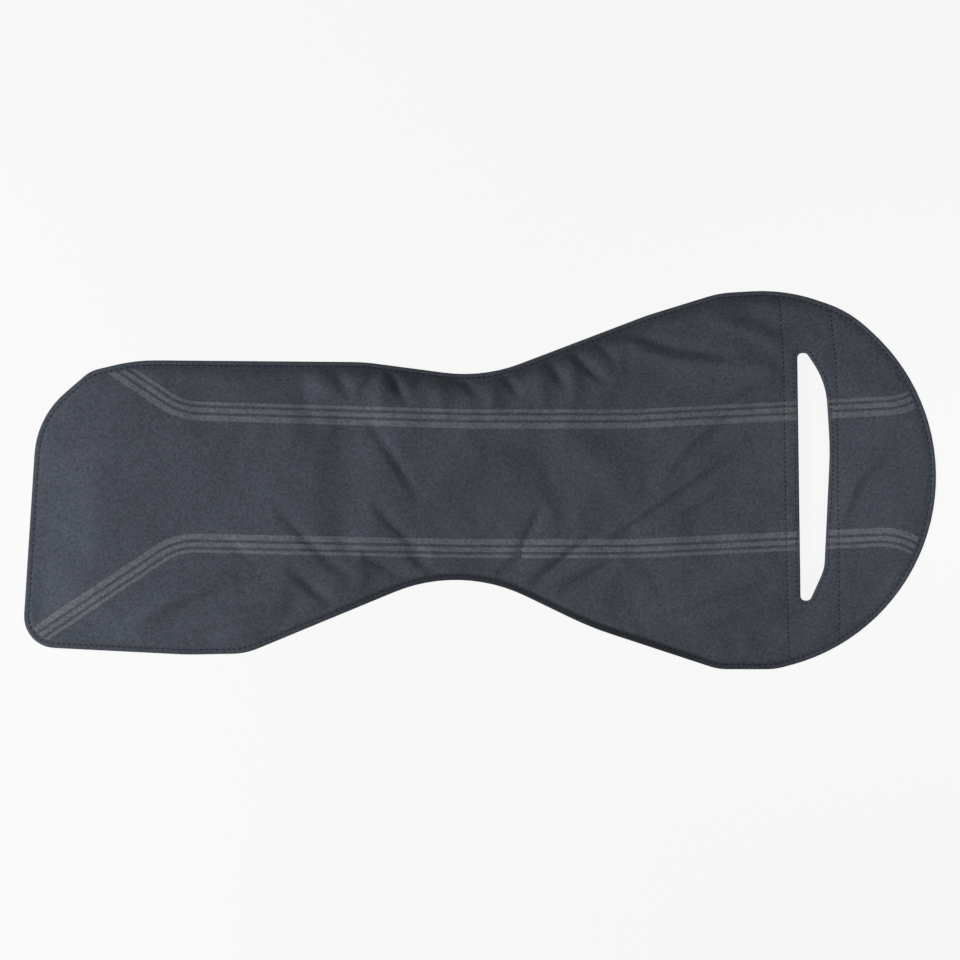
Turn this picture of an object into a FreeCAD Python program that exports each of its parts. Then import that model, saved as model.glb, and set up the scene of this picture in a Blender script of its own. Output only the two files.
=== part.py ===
"""Fabric cover for a bicycle's chainrings, chain and rear gears, lying flat with its printed face up."""
import FreeCAD
import Part
import Sketcher
import math
import os

Vector = FreeCAD.Vector
UP = Vector(0, 0, 1)
doc = FreeCAD.newDocument("chain_cover")

# Driving dimensions in millimetres and degrees. +X points to the round end over the chainrings, +Y to the
# upper edge and +Z out of the printed face. Places "ahead" and "behind" are measured along X from the
# centre of the round end, and places "from_rear" from the rear end.
DIMENSIONS = {
    "overall_length": 580.0,
    # round end over the chainrings
    "nose_radius": 124.0,
    "nose_rise": 2.2,
    "nose_upper_angle": 48.0,
    "nose_upper_lead": 19.5,
    "nose_upper_round": 70.0,
    "nose_lower_angle": 75.0,
    "nose_lower_lead": 10.8,
    "nose_lower_round": 40.0,
    # corners of the upper edge, from the round end to the rear
    "strip_corner_ahead": 28.3,
    "strip_corner_drop": 4.9,
    "strip_corner_round": 110.0,
    "shoulder_behind": 14.0,
    "shoulder_drop": 7.4,
    "shoulder_round": 60.0,
    "slope_bend_behind": 60.0,
    "slope_bend_drop": 21.6,
    "slope_bend_round": 120.0,
    "waist_top_behind": 164.0,
    "waist_top_height": 65.0,
    "waist_top_round": 100.0,
    "stay_bend_behind": 240.0,
    "stay_bend_height": 75.0,
    "stay_bend_round": 120.0,
    "rear_top_from_rear": 71.0,
    "rear_top_height": 76.2,
    "rear_top_round": 110.0,
    "chamfer_top_from_rear": 42.3,
    "chamfer_top_height": 69.4,
    "chamfer_top_round": 20.0,
    "chamfer_end_from_rear": 8.2,
    "chamfer_end_height": 40.0,
    "chamfer_end_round": 56.0,
    # corners of the lower edge, from the rear to the round end
    "heel_overhang": 1.2,
    "heel_depth": 105.8,
    "heel_round": 20.0,
    "sole_bend_from_rear": 104.0,
    "sole_bend_depth": 111.1,
    "sole_bend_round": 200.0,
    "sole_front_from_rear": 141.0,
    "sole_front_depth": 110.4,
    "sole_front_round": 42.0,
    "waist_bottom_behind": 178.4,
    "waist_bottom_depth": 53.9,
    "waist_bottom_round": 102.0,
    "lower_bend_behind": 96.0,
    "lower_bend_rise": 28.2,
    "lower_bend_round": 200.0,
    "lower_shoulder_behind": 14.5,
    "lower_shoulder_round": 35.0,
    # front panel: a flat stitched hem around a slack, slightly raised crown
    "panel_cloth": 0.8,
    "hem_width": 4.5,
    "crown_height": 6.4,
    "crown_slope_angle": 50.0,
    "crown_round": 5.0,
    # gathers: the elastic draws the crown's slope into ridges and valleys beside the waist
    "gather_pitch": 27.0,
    "gather_depth": 3.2,
    "gather_valley_round": 19.0,
    "gather_ridge_round": 4.4,
    "gather_upper_from": 244.0,
    "gather_upper_to": 44.0,
    "gather_lower_from": 288.0,
    "gather_lower_to": 48.0,
    # slot for the crank arm
    "slot_ahead": 35.5,
    "slot_top": 80.6,
    "slot_bottom": 76.6,
    "slot_lean": 2.1,
    "slot_tip_width": 6.0,
    "slot_tip_round": 3.0,
    "slot_upper_width": 18.1,
    "slot_upper_height": 62.0,
    "slot_upper_round": 50.0,
    "slot_lower_width": 17.2,
    "slot_lower_depth": 56.5,
    "slot_lower_round": 25.0,
    "slot_width": 20.8,
    "slot_belly_height": 20.0,
    "slot_belly_round": 200.0,
    # facing strip sewn behind the panel along the slot
    "facing_cloth": 0.6,
    "facing_ahead": 25.5,
    "facing_width": 36.5,
    "facing_lean": 3.0,
    # back rim turned under all round, with a tunnel hem for the elastic
    "rim_cloth": 0.8,
    "rim_width": 30.0,
    "tunnel_width": 9.0,
    "elastic_thickness": 1.0,
    "elastic_side_play": 0.4,
    # printed stripes, three in each set
    "print_thickness": 0.15,
    "thick_stripe": 3.6,
    "medium_stripe": 2.8,
    "thin_stripe": 2.1,
    "stripe_gap": 1.8,
    "stripe_waist_rear_behind": 174.0,
    "stripe_waist_front_behind": 69.4,
    "stripe_waist_round": 300.0,
    "stripe_bend_round": 40.0,
    "stripe_tip_ahead": 101.0,
    "stripe_tip_run": 40.0,
    "upper_stripe_bend_from_rear": 100.4,
    "upper_stripe_bend_height": 44.8,
    "upper_stripe_rear_angle": 33.5,
    "upper_stripe_rear_run": 80.0,
    "upper_stripe_waist": 39.5,
    "upper_stripe_tip": 48.1,
    "upper_stripe_tip_angle": 27.0,
    "lower_stripe_bend_from_rear": 97.5,
    "lower_stripe_bend_depth": 40.6,
    "lower_stripe_rear_angle": 33.7,
    "lower_stripe_rear_run": 135.0,
    "lower_stripe_waist": 44.3,
    "lower_stripe_tip": 36.4,
    "lower_stripe_tip_angle": 33.7,
}
sizes = doc.addObject("Spreadsheet::Sheet", "sizes")
for row, (alias, number) in enumerate(DIMENSIONS.items(), start=1):
    sizes.set(f"A{row}", alias)
    sizes.set(f"B{row}", str(number))
    sizes.setAlias(f"B{row}", alias)
doc.recompute()


def value(formula):
    """Number that a formula on the sheet's sizes gives."""
    result = sizes.evalExpression(formula)
    return float(getattr(result, "Value", result))


def through_sheet(formula):
    """The same formula with each size named through the sheet, as another object's expression needs it."""
    words = formula.split(" ")
    return " ".join("sizes." + word if word in DIMENSIONS else word for word in words)


def bind(target, prop, formula):
    """Tie a property of an object to a formula on the sheet."""
    target.setExpression(prop, through_sheet(formula))


def fix(sketch, kind, *where, formula):
    """Add a dimension to a sketch and tie it to a formula on the sheet."""
    index = sketch.addConstraint(Sketcher.Constraint(kind, *where, value(formula)))
    bind(sketch, f"Constraints[{index}]", formula)


def round_corner(before, corner, after, radius):
    """Start, centre and end of the arc that rounds a corner between two straight edges."""
    back = (before - corner).normalize()
    ahead = (after - corner).normalize()
    half = back.getAngle(ahead) / 2
    reach = radius / math.tan(half)
    centre = corner + (back + ahead).normalize() * (radius / math.sin(half))
    return corner + back * reach, centre, corner + ahead * reach


def add_arc(sketch, start, centre, end):
    """Short arc between two points. Returns it with its vertex numbers at the start and at the end."""
    first = math.atan2(start.y - centre.y, start.x - centre.x)
    last = math.atan2(end.y - centre.y, end.x - centre.x)
    turn = (last - first + math.pi) % (2 * math.pi) - math.pi
    circle = Part.Circle(centre, UP, (start - centre).Length)
    low, high = sorted((first, first + turn))
    arc = sketch.addGeometry(Part.ArcOfCircle(circle, low, high), False)
    return (arc, 1, 2) if turn > 0 else (arc, 2, 1)


def radius_shares(way, radii, closed):
    """Share of each corner's radius that its edges have room for: 1, or less where two arcs would meet."""
    reaches = []
    for before, corner, after, radius in zip(way, way[1:], way[2:], radii):
        reaches.append(radius / math.tan((before - corner).getAngle(after - corner) / 2))
    around = [reaches[-1]] + reaches + [reaches[0]] if closed else [0] + reaches + [0]
    room = []
    for here, there, reach, next_reach in zip(way, way[1:], around, around[1:]):
        room.append(0.98 * (there - here).Length / (reach + next_reach))
    return [min(1, before, after) for before, after in zip(room, room[1:])]


def draw_rounded(sketch, corners, start=None, end=None):
    """Straight edges through corners of (x, y, radius) formulas, each corner rounded by a tangent arc.

    With a start and an end point the run is open, and otherwise it closes on itself. Returns the first and
    the last straight edge.
    """
    points = [Vector(value(x), value(y), 0) for x, y, radius in corners]
    closed = start is None
    way = [points[-1]] + points + [points[0]] if closed else [start] + points + [end]
    shares = radius_shares(way, [value(radius) for x, y, radius in corners], closed)
    bends = []
    for number, (x, y, radius) in enumerate(corners):
        rounding = value(radius) * shares[number]
        bends.append(round_corner(way[number], way[number + 1], way[number + 2], rounding))
    begin = bends[-1][2] if closed else start
    lines = []
    arcs = []
    for bend in bends:
        lines.append(sketch.addGeometry(Part.LineSegment(begin, bend[0]), False))
        arcs.append(add_arc(sketch, *bend))
        begin = bend[2]
    lines.append(lines[0] if closed else sketch.addGeometry(Part.LineSegment(begin, end), False))
    for number, (x, y, radius) in enumerate(corners):
        arc, first, last = arcs[number]
        before, after = lines[number], lines[number + 1]
        corner = sketch.addGeometry(Part.Point(points[number]), True)
        sketch.addConstraint([
            Sketcher.Constraint("Tangent", before, 2, arc, first),
            Sketcher.Constraint("Tangent", arc, last, after, 1),
            Sketcher.Constraint("PointOnObject", corner, 1, before),
            Sketcher.Constraint("PointOnObject", corner, 1, after),
        ])
        share = shares[number]
        fix(sketch, "Radius", arc, formula=radius if share == 1 else f"{share:.6f} * {radius}")
        fix(sketch, "DistanceX", -1, 1, corner, 1, formula=x)
        fix(sketch, "DistanceY", -1, 1, corner, 1, formula=y)
    return lines[0], lines[-1]


def extrude(name, base, length, lift="0"):
    """Straight prism on a flat profile, standing at a height that the sheet gives."""
    prism = doc.addObject("Part::Extrusion", name)
    prism.Base = base
    prism.DirMode = "Custom"
    prism.Dir = UP
    prism.Solid = True
    bind(prism, "LengthFwd", length)
    bind(prism, "Placement.Base.z", lift)
    return prism


def inset(name, source, distance, ring=False):
    """Profile a distance inside another, or the ring between the two."""
    profile = doc.addObject("Part::Offset2D", name)
    profile.Source = source
    profile.Fill = ring
    bind(profile, "Value", f"-( {distance} )")
    return profile


def cut(name, base, tool):
    """One solid less another."""
    result = doc.addObject("Part::Cut", name)
    result.Base = base
    result.Tool = tool
    return result


def overlap(name, *shapes):
    """What several solids have in common."""
    result = doc.addObject("Part::MultiCommon", name)
    result.Shapes = list(shapes)
    return result


# Heights of the layers above the surface that the cover lies on.
HEM_TOP = "rim_cloth + panel_cloth"
CLEAR_OF_ALL = "4 * crown_height"
NOSE = "overall_length / 2 - nose_radius"
REAR = "- overall_length / 2"

# Outline of the panel and the rim, run clockwise from the lower end of the round end's arc.
nose_low_y = (
    "nose_rise - nose_radius * sin( nose_lower_angle ) - nose_lower_lead * cos( nose_lower_angle )"
)
outline_corners = [
    (
        f"{NOSE} + nose_radius * cos( nose_lower_angle ) - nose_lower_lead * sin( nose_lower_angle )",
        nose_low_y,
        "nose_lower_round",
    ),
    (f"{NOSE} - lower_shoulder_behind", nose_low_y, "lower_shoulder_round"),
    (f"{NOSE} - lower_bend_behind", "nose_rise - nose_radius + lower_bend_rise", "lower_bend_round"),
    (f"{NOSE} - waist_bottom_behind", "- waist_bottom_depth", "waist_bottom_round"),
    (f"{REAR} + sole_front_from_rear", "- sole_front_depth", "sole_front_round"),
    (f"{REAR} + sole_bend_from_rear", "- sole_bend_depth", "sole_bend_round"),
    (f"{REAR} - heel_overhang", "- heel_depth", "heel_round"),
    (f"{REAR} + chamfer_end_from_rear", "chamfer_end_height", "chamfer_end_round"),
    (f"{REAR} + chamfer_top_from_rear", "chamfer_top_height", "chamfer_top_round"),
    (f"{REAR} + rear_top_from_rear", "rear_top_height", "rear_top_round"),
    (f"{NOSE} - stay_bend_behind", "stay_bend_height", "stay_bend_round"),
    (f"{NOSE} - waist_top_behind", "waist_top_height", "waist_top_round"),
    (f"{NOSE} - slope_bend_behind", "nose_rise + nose_radius - slope_bend_drop", "slope_bend_round"),
    (f"{NOSE} - shoulder_behind", "nose_rise + nose_radius - shoulder_drop", "shoulder_round"),
    (f"{NOSE} + strip_corner_ahead", "nose_rise + nose_radius - strip_corner_drop", "strip_corner_round"),
    (
        f"{NOSE} + nose_radius * cos( nose_upper_angle ) - nose_upper_lead * sin( nose_upper_angle )",
        "nose_rise + nose_radius * sin( nose_upper_angle ) + nose_upper_lead * cos( nose_upper_angle )",
        "nose_upper_round",
    ),
]


def nose_point(angle):
    """Point of the round end's arc, by its angle above the arc's own axis."""
    radius = value("nose_radius")
    around = math.radians(angle)
    along = value(NOSE) + radius * math.cos(around)
    return Vector(along, value("nose_rise") + radius * math.sin(around), 0)


outline = doc.addObject("Sketcher::SketchObject", "outline")
nose_low = -value("nose_lower_angle")
nose_high = value("nose_upper_angle")
first_edge, last_edge = draw_rounded(
    outline, outline_corners, start=nose_point(nose_low), end=nose_point(nose_high)
)
nose_circle = Part.Circle(Vector(value(NOSE), value("nose_rise"), 0), UP, value("nose_radius"))
nose_arc = outline.addGeometry(
    Part.ArcOfCircle(nose_circle, math.radians(nose_low), math.radians(nose_high)), False
)
outline.addConstraint([
    Sketcher.Constraint("Tangent", nose_arc, 1, first_edge, 1),
    Sketcher.Constraint("Tangent", last_edge, 2, nose_arc, 2),
])
fix(outline, "Radius", nose_arc, formula="nose_radius")
fix(outline, "DistanceX", -1, 1, nose_arc, 3, formula=NOSE)
fix(outline, "DistanceY", -1, 1, nose_arc, 3, formula="nose_rise")

# Slot for the crank arm: one nearly straight side and one bowed side, with small round tips.
SLOT_SIDE = f"{NOSE} + slot_ahead"
slot = doc.addObject("Sketcher::SketchObject", "slot")
draw_rounded(slot, [
    (SLOT_SIDE, "slot_top", "slot_tip_round"),
    (f"{SLOT_SIDE} + slot_tip_width", "slot_top", "slot_tip_round"),
    (f"{SLOT_SIDE} + slot_upper_width", "slot_upper_height", "slot_upper_round"),
    (f"{SLOT_SIDE} + slot_width", "slot_belly_height", "slot_belly_round"),
    (f"{SLOT_SIDE} + slot_lower_width", "- slot_lower_depth", "slot_lower_round"),
    (f"{SLOT_SIDE} + slot_lean + slot_tip_width", "- slot_bottom", "slot_tip_round"),
    (f"{SLOT_SIDE} + slot_lean", "- slot_bottom", "slot_tip_round"),
])
slot_cutter = extrude("slot_cutter", slot, CLEAR_OF_ALL)
doc.recompute()

# Gathers: along both edges of the waist the elastic draws the cloth in, so that the crown rises from the
# hem's stitching in a row of ridges and valleys. There the crown's edge leaves the stitch line for a row of
# arcs that run into each other: each valley bends into the field, and each ridge joins two valleys.
SLOPE_RUN = "crown_height * tan( crown_slope_angle )"
stitch_line = inset("stitch_line", outline, "hem_width")
doc.recompute()
stitch_edges = stitch_line.Shape.Wires[0].OrderedEdges
stitch_length = sum(edge.Length for edge in stitch_edges)
valley_round = value("gather_valley_round")
ridge_round = value(f"{SLOPE_RUN} + gather_ridge_round")


def place_on(edge, distance):
    """Parameter of an edge at a distance from where the stitch line enters it."""
    if edge.Orientation == "Reversed":
        distance = edge.Length - distance
    return edge.getParameterByLength(min(max(distance, 0), edge.Length))


def stitch_point(distance):
    """Point of the stitch line at a distance along it, and the direction of the stitch line there."""
    for edge in stitch_edges:
        if distance <= edge.Length:
            break
        distance -= edge.Length
    place = place_on(edge, distance)
    direction = edge.tangentAt(place)
    return edge.valueAt(place), direction * -1 if edge.Orientation == "Reversed" else direction


area = 0
for step in range(100):
    here, there = (stitch_point(number % 100 * stitch_length / 100)[0] for number in (step, step + 1))
    area += here.x * there.y - there.x * here.y
TO_FIELD = UP if area > 0 else UP * -1


def beside(distance, depth):
    """Point that lies a depth inside the stitch line."""
    point, direction = stitch_point(distance)
    return point + TO_FIELD.cross(direction) * depth


def stitch_distance(behind, side):
    """Distance along the stitch line to a place behind the round end, on the upper or the lower side."""
    wanted = value(f"{NOSE} - {behind}")
    steps = [step for step in range(int(stitch_length)) if stitch_point(step)[0].y * side > 0]
    return min(steps, key=lambda step: abs(stitch_point(step)[0].x - wanted))


def end_of_gathers(valley_place, valley, way):
    """Place on the stitch line where the ridge beside an outer valley runs out, on the given side."""
    near = valley_place
    far = valley_place + way * (valley_round + ridge_round)
    for step in range(60):
        middle = (near + far) / 2
        if (beside(middle, ridge_round) - valley).Length < valley_round + ridge_round:
            near = middle
        else:
            far = middle
    return near


def arc_edge(centre, start, end):
    """Short arc about a centre."""
    middle = (start - centre + end - centre).normalize() * (start - centre).Length
    return Part.Arc(start, centre + middle, end).toShape()


def gather_run(first, last):
    """Arcs of one row of gathers, with the places where it leaves the stitch line and comes back to it."""
    count = max(2, round((last - first) / value("gather_pitch")))
    places = [first + (last - first) * (number + 0.5) / count for number in range(count)]
    valleys = [beside(place, value("gather_depth") - valley_round) for place in places]
    leave = end_of_gathers(places[0], valleys[0], -1)
    come_back = end_of_gathers(places[-1], valleys[-1], 1)
    ridges = [beside(leave, ridge_round)]
    for here, there in zip(valleys, valleys[1:]):
        half = (there - here) / 2
        height = math.sqrt((valley_round + ridge_round) ** 2 - half.Length ** 2)
        ridges.append(here + half + TO_FIELD.cross(half).normalize() * height)
    ridges.append(beside(come_back, ridge_round))
    share = valley_round / (valley_round + ridge_round)
    ends = [stitch_point(leave)[0]]
    for number, valley in enumerate(valleys):
        ends.append(valley + (ridges[number] - valley) * share)
        ends.append(valley + (ridges[number + 1] - valley) * share)
    ends.append(stitch_point(come_back)[0])
    centres = [ridges[0]]
    for valley, ridge in zip(valleys, ridges[1:]):
        centres += [valley, ridge]
    return leave, come_back, [arc_edge(*three) for three in zip(centres, ends, ends[1:])]


def stitch_run(first, last):
    """Edges of the stitch line from one place to another."""
    run = []
    begin = 0
    for edge in stitch_edges:
        low, high = max(first - begin, 0), min(last - begin, edge.Length)
        begin += edge.Length
        if high - low > 0.001:
            run.append(edge.Curve.toShape(*sorted((place_on(edge, low), place_on(edge, high)))))
    return run


# Crown of the front panel: the cloth rises from the hem's stitching up a short slope to a slack flat field.
gathers = []
for edge_name, side in (("upper", 1), ("lower", -1)):
    run_ends = [stitch_distance(f"gather_{edge_name}_{end}", side) for end in ("from", "to")]
    gathers.append(gather_run(*sorted(run_ends)))
gathers.sort(key=lambda run: run[0])
crown_lines = stitch_run(0, gathers[0][0]) + gathers[0][2] + stitch_run(gathers[0][1], gathers[1][0])
crown_lines += gathers[1][2] + stitch_run(gathers[1][1], stitch_length)
crown_edge = doc.addObject("Part::Feature", "crown_edge")
crown_edge.Shape = Part.Wire(Part.__sortEdges__(crown_lines))


crown_crease = inset("crown_crease", crown_edge, SLOPE_RUN)
bind(crown_crease, "Placement.Base.z", "crown_height")


def crown(name, lift):
    """The crown's form with a crease at the top of its slope, raised or lowered to one face of a layer."""
    block = doc.addObject("Part::Loft", name)
    block.Sections = [crown_edge, crown_crease]
    block.Solid = True
    block.Ruled = True
    bind(block, "Placement.Base.z", f"{HEM_TOP} + {lift}")
    return block


def rounded_crown(name, block):
    """A crown whose crease is rounded over, as the cloth's outer face is."""
    doc.recompute()
    middle = block.Shape.BoundBox.Center.z
    numbered = enumerate(block.Shape.Edges, start=1)
    crease = [number for number, edge in numbered if edge.BoundBox.ZMin > middle]
    skin = doc.addObject("Part::Fillet", name)
    skin.Base = block
    skin.Edges = [(number, value("crown_round"), value("crown_round")) for number in crease]
    return skin


panel_face = rounded_crown("panel_face", crown("panel_form", "0"))
print_face = rounded_crown("print_face", crown("print_form", "print_thickness"))
panel_back = crown("panel_back", "- panel_cloth")
facing_back = crown("facing_back", "- panel_cloth - facing_cloth")

# Front panel: one layer of woven polyester, hemmed flat all round, with the crank slot cut through it.
hem = extrude("hem", outline, "panel_cloth", "rim_cloth")
raised_panel = doc.addObject("Part::Fuse", "raised_panel")
raised_panel.Base = hem
raised_panel.Tool = panel_face
hollow_panel = cut("hollow_panel", raised_panel, panel_back)
front_panel = cut("front_panel", hollow_panel, slot_cutter)

# Facing: a strip sewn behind the panel from hem to hem, with the same slot, so that the slot can't tear.
facing_shape = doc.addObject("Sketcher::SketchObject", "facing_shape")
FACING_SIDE = f"{NOSE} + facing_ahead"
facing_corners = [
    (f"{FACING_SIDE} - facing_lean", "nose_radius"),
    (f"{FACING_SIDE} - facing_lean + facing_width", "nose_radius"),
    (f"{FACING_SIDE} + facing_lean + facing_width", "- nose_radius"),
    (f"{FACING_SIDE} + facing_lean", "- nose_radius"),
]
facing_points = [Vector(value(x), value(y), 0) for x, y in facing_corners]
for here, there in zip(facing_points, facing_points[1:] + facing_points[:1]):
    facing_shape.addGeometry(Part.LineSegment(here, there), False)
for number, (x, y) in enumerate(facing_corners):
    facing_shape.addConstraint(Sketcher.Constraint("Coincident", number - 1 if number else 3, 2, number, 1))
    fix(facing_shape, "DistanceX", -1, 1, number, 1, formula=x)
    fix(facing_shape, "DistanceY", -1, 1, number, 1, formula=y)
facing_prism = extrude("facing_prism", facing_shape, CLEAR_OF_ALL, HEM_TOP)
facing_field = overlap("facing_field", facing_prism, panel_back)
facing_layer = cut("facing_layer", facing_field, facing_back)
slot_facing = cut("slot_facing", facing_layer, slot_cutter)

# Back rim: a band of the same cloth turned under all round, its inner edge folded into a tunnel hem.
TUNNEL_EDGE = "rim_width - tunnel_width"
rim_band = extrude("rim_band", inset("rim_shape", outline, "rim_width", ring=True), "rim_cloth")
tunnel_edge = inset("tunnel_edge", outline, TUNNEL_EDGE)
tunnel_shape = inset("tunnel_shape", tunnel_edge, "tunnel_width", ring=True)
tunnel_fold = extrude("tunnel_fold", tunnel_shape, "2 * rim_cloth + elastic_thickness")
cavity_edge = inset("cavity_edge", outline, f"{TUNNEL_EDGE} + rim_cloth")
cavity_shape = inset("cavity_shape", cavity_edge, "tunnel_width - 2 * rim_cloth", ring=True)
tunnel_cavity = extrude("tunnel_cavity", cavity_shape, "elastic_thickness", "rim_cloth")
folded_rim = doc.addObject("Part::Fuse", "folded_rim")
folded_rim.Base = rim_band
folded_rim.Tool = tunnel_fold
back_rim = cut("back_rim", folded_rim, tunnel_cavity)

# Elastic: a flat braided band, a closed loop lying free in the tunnel hem.
elastic_edge = inset("elastic_edge", outline, f"{TUNNEL_EDGE} + rim_cloth + elastic_side_play")
elastic_shape = inset(
    "elastic_shape", elastic_edge, "tunnel_width - 2 * rim_cloth - 2 * elastic_side_play", ring=True
)
rim_elastic = extrude("rim_elastic", elastic_shape, "elastic_thickness", "rim_cloth")


def stripe_set(name, corners, rear_end, tip_end, thick_side):
    """Three printed stripes side by side along one guide, the thick one on the given side of the guide."""
    guide = doc.addObject("Sketcher::SketchObject", f"{name}_guide")
    points = [Vector(value(x), value(y), 0) for x, y in (rear_end, tip_end)]
    first, last = draw_rounded(guide, corners, start=points[0], end=points[1])
    for edge, vertex, (x, y) in ((first, 1, rear_end), (last, 2, tip_end)):
        fix(guide, "DistanceX", -1, 1, edge, vertex, formula=x)
        fix(guide, "DistanceY", -1, 1, edge, vertex, formula=y)
    clear = "medium_stripe / 2 + stripe_gap"

    def column(label, mode, distance):
        """Upright band about the guide, or to one side of it."""
        band = doc.addObject("Part::Offset2D", f"{name}_{label}_band")
        band.Source = guide
        band.Mode = mode
        band.Fill = True
        bind(band, "Value", distance)
        return extrude(f"{name}_{label}_column", band, CLEAR_OF_ALL)

    medium = column("medium", "Pipe", "medium_stripe / 2")
    bare = column("bare", "Pipe", clear)
    to_thick = column("to_thick", "Skin", f"{thick_side} * ( {clear} + thick_stripe )")
    to_thin = column("to_thin", "Skin", f"-{thick_side} * ( {clear} + thin_stripe )")
    columns = doc.addObject("Part::Compound", f"{name}_columns")
    columns.Links = [medium, cut(f"{name}_thick", to_thick, bare), cut(f"{name}_thin", to_thin, bare)]
    printed = cut(f"{name}_printed", overlap(f"{name}_field", columns, print_face), panel_face)
    return cut(name, printed, slot_cutter)


# Stripe sets: a thin, a middle and a thick stripe in each, from hem to hem above and below the middle.
upper_stripes = stripe_set(
    "upper_stripes",
    [
        (f"{REAR} + upper_stripe_bend_from_rear", "upper_stripe_bend_height", "stripe_bend_round"),
        (f"{NOSE} - stripe_waist_rear_behind", "upper_stripe_waist", "stripe_waist_round"),
        (f"{NOSE} - stripe_waist_front_behind", "upper_stripe_waist", "stripe_waist_round"),
        (f"{NOSE} + stripe_tip_ahead", "upper_stripe_tip", "stripe_bend_round"),
    ],
    (
        f"{REAR} + upper_stripe_bend_from_rear - upper_stripe_rear_run * cos( upper_stripe_rear_angle )",
        "upper_stripe_bend_height + upper_stripe_rear_run * sin( upper_stripe_rear_angle )",
    ),
    (
        f"{NOSE} + stripe_tip_ahead + stripe_tip_run * cos( upper_stripe_tip_angle )",
        "upper_stripe_tip + stripe_tip_run * sin( upper_stripe_tip_angle )",
    ),
    "1",
)
lower_stripes = stripe_set(
    "lower_stripes",
    [
        (f"{REAR} + lower_stripe_bend_from_rear", "- lower_stripe_bend_depth", "stripe_bend_round"),
        (f"{NOSE} - stripe_waist_rear_behind", "- lower_stripe_waist", "stripe_waist_round"),
        (f"{NOSE} - stripe_waist_front_behind", "- lower_stripe_waist", "stripe_waist_round"),
        (f"{NOSE} + stripe_tip_ahead", "- lower_stripe_tip", "stripe_bend_round"),
    ],
    (
        f"{REAR} + lower_stripe_bend_from_rear - lower_stripe_rear_run * cos( lower_stripe_rear_angle )",
        "- lower_stripe_bend_depth - lower_stripe_rear_run * sin( lower_stripe_rear_angle )",
    ),
    (
        f"{NOSE} + stripe_tip_ahead + stripe_tip_run * cos( lower_stripe_tip_angle )",
        "- lower_stripe_tip - stripe_tip_run * sin( lower_stripe_tip_angle )",
    ),
    "-1",
)
doc.recompute()

# Every object has to be sound before any piece is written.
pieces = [front_panel, slot_facing, back_rim, rim_elastic, upper_stripes, lower_stripes]
for item in doc.Objects:
    if "Invalid" in item.State or "Error" in item.State:
        raise RuntimeError(f"{item.Name} failed: {item.State}")
for piece in pieces:
    if piece.Shape.isNull() or not piece.Shape.isValid() or not piece.Shape.Solids:
        raise RuntimeError(f"{piece.Label} has no sound solid")
os.makedirs("parts", exist_ok=True)
for piece in pieces:
    piece.Shape.exportStep(f"parts/{piece.Label}.step")
    print(piece.Label, len(piece.Shape.Solids), "solids", round(piece.Shape.Volume), "mm3")
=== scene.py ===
import math
import bmesh
import bpy
import numpy as np
from mathutils import Matrix, Vector, noise
from mathutils.bvhtree import BVHTree
from mathutils.geometry import delaunay_2d_cdt


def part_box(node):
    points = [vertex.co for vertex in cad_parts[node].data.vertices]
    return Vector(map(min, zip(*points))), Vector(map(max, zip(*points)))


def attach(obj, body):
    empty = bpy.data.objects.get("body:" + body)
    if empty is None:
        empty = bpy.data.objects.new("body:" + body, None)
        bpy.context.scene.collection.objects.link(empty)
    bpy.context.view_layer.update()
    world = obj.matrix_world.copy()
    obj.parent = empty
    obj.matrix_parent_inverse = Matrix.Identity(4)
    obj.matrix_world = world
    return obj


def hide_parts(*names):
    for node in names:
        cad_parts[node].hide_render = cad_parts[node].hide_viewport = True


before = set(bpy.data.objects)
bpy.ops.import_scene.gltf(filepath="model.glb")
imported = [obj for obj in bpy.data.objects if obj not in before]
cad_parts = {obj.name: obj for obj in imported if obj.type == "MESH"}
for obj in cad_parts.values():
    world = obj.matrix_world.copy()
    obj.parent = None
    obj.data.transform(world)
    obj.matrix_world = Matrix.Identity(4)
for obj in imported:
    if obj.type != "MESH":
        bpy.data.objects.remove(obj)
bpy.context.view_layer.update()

# Front panel
# One layer of dark slate polyester twill, cut to the cover's outline with a slot for the crank arm. It is hemmed
# and topstitched flat all round, stands slightly puffed above the hem, and puckers where the elastic draws in the
# waist.
MM = 0.001
HEM_WIDTH = 4.5 * MM
HEM_TOP = 1.6 * MM
PANEL_CLOTH = 0.7 * MM
CLOTH_STEP = 2.2 * MM
SLOT_STEP = 1.4 * MM
EDGE_STITCH_INSET = 3.0 * MM
SLOT_STITCH_INSET = 2.3 * MM
SLATE_WARP = (0.080, 0.091, 0.116)
SLATE_WEFT = (0.046, 0.053, 0.069)


def flat_loops(node, height):
    """Closed loops of points around a CAD node's level faces at one height, the longest first."""
    bm = bmesh.new()
    bm.from_mesh(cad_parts[node].data)
    bmesh.ops.remove_doubles(bm, verts=bm.verts, dist=0.002 * MM)
    level = {
        face for face in bm.faces
        if abs(face.normal.z) > 0.999 and abs(face.calc_center_median().z - height) < 0.05 * MM
    }
    ahead = {}
    for edge in bm.edges:
        if sum(face in level for face in edge.link_faces) == 1:
            for one, other in (edge.verts, reversed(edge.verts)):
                ahead.setdefault(one, []).append(other)
    loops = []
    while ahead:
        here = next(iter(ahead))
        loop = []
        while here in ahead:
            loop.append(here.co.copy())
            there = [vert for vert in ahead.pop(here) if vert in ahead]
            here = there[0] if there else None
        loops.append(np.array([(point.x, point.y) for point in loop]))
    bm.free()
    return sorted(loops, key=loop_length, reverse=True)


def loop_length(loop):
    """Length of a closed loop of points."""
    return np.linalg.norm(np.roll(loop, -1, axis=0) - loop, axis=1).sum()


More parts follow.
